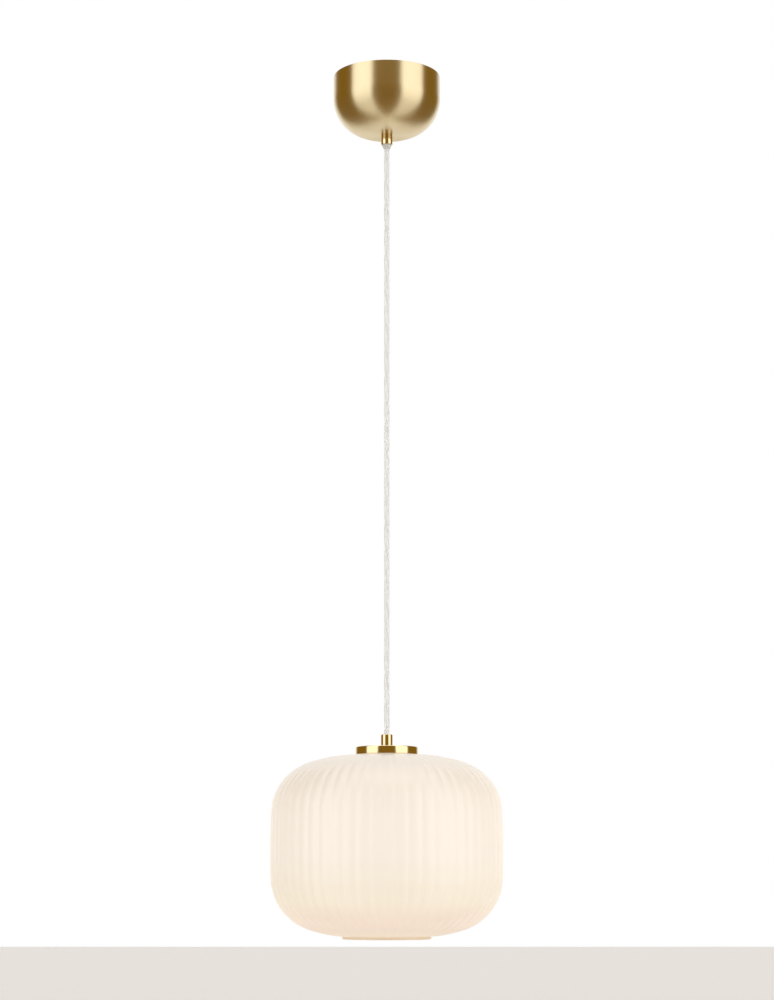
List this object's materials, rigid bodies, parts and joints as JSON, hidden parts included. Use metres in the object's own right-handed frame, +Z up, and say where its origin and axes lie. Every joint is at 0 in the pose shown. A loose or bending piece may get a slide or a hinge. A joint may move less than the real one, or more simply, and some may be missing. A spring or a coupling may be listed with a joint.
{
  "type": "pendant ceiling light",
  "caption": "Pendant ceiling light with a deep brass canopy cup, a straight clear cord and a rounded fluted opal glass shade open at the bottom.",
  "frame": {"origin": "centre of the canopy's rim on the ceiling", "axes": "+Z up along the hanging cord into the ceiling; +X along the bracket's two screw slots; -Y is the side seen in the picture"},
  "size_m": [0.2504, 0.2504, 0.9584],
  "materials": {
    "brushed_brass": "brushed",
    "polished_brass": "polished",
    "contact_brass": "plain",
    "zinc_steel": "zinc plated",
    "nickel": "nickel plated",
    "clear_plastic": "clear",
    "clear_sheath": "clear, slightly milky",
    "pale_core": "satin",
    "white_plastic": "satin",
    "black_insulator": "gloss",
    "silicone": "satin",
    "opal_glass": "satin opal, fluted",
    "opal_plastic": "satin opal",
    "led_board": "white lacquer"
  },
  "bodies": {
    "canopy": {"canopy_cup": "brushed_brass", "ceiling_bracket": "zinc_steel", "canopy_nipple": "zinc_steel", "bracket_washer": "zinc_steel", "bracket_nut_upper": "zinc_steel", "bracket_nut_lower": "zinc_steel", "gland_body": "polished_brass", "terminal_block": "white_plastic", "terminal_screws": "zinc_steel", "block_screw": "zinc_steel", "earth_screw": "polished_brass", "upper_cord_end": "clear_sheath", "upper_live_core": "pale_core", "upper_neutral_core": "pale_core"},
    "collet": {"cord_collet": "clear_plastic"},
    "cord": {"hanging_cord": "clear_sheath"},
    "shade": {"lower_cord_grip": "polished_brass", "grip_screw": "zinc_steel", "cap_disc": "polished_brass", "cap_gasket": "silicone", "shade_nipple": "zinc_steel", "glass_seal": "silicone", "clamp_plate": "zinc_steel", "shade_nut": "zinc_steel", "glass_shade": "opal_glass", "lampholder_cap": "white_plastic", "lampholder_skirt": "white_plastic", "contact_block": "white_plastic", "centre_contact": "contact_brass", "side_contact": "contact_brass", "lower_cord_end": "clear_sheath", "lower_live_core": "pale_core", "lower_neutral_core": "pale_core"},
    "bulb": {"bulb_button": "contact_brass", "bulb_insulator": "black_insulator", "bulb_screw_cap": "nickel", "bulb_housing": "white_plastic", "led_board": "led_board", "bulb_globe": "opal_plastic"}
  },
  "joints": [
    {"name": "cord_twist", "type": "hinge", "parent": "canopy", "child": "collet", "pos_m": [0, 0, -0.0835], "axis": [0, 0, 1], "range_deg": [-180, 180]},
    {"name": "pendant_swing", "type": "hinge", "parent": "collet", "child": "cord", "pos_m": [0, 0, -0.0835], "axis": [0, 1, 0], "range_deg": [-20, 20]},
    {"name": "shade_rock", "type": "hinge", "parent": "cord", "child": "shade", "pos_m": [0, 0, -0.7405], "axis": [1, 0, 0], "range_deg": [-12, 12]},
    {"name": "bulb_out", "type": "slide", "parent": "shade", "child": "bulb", "axis": [0, 0, -1], "range_m": [0, 0.03]}
  ]
}
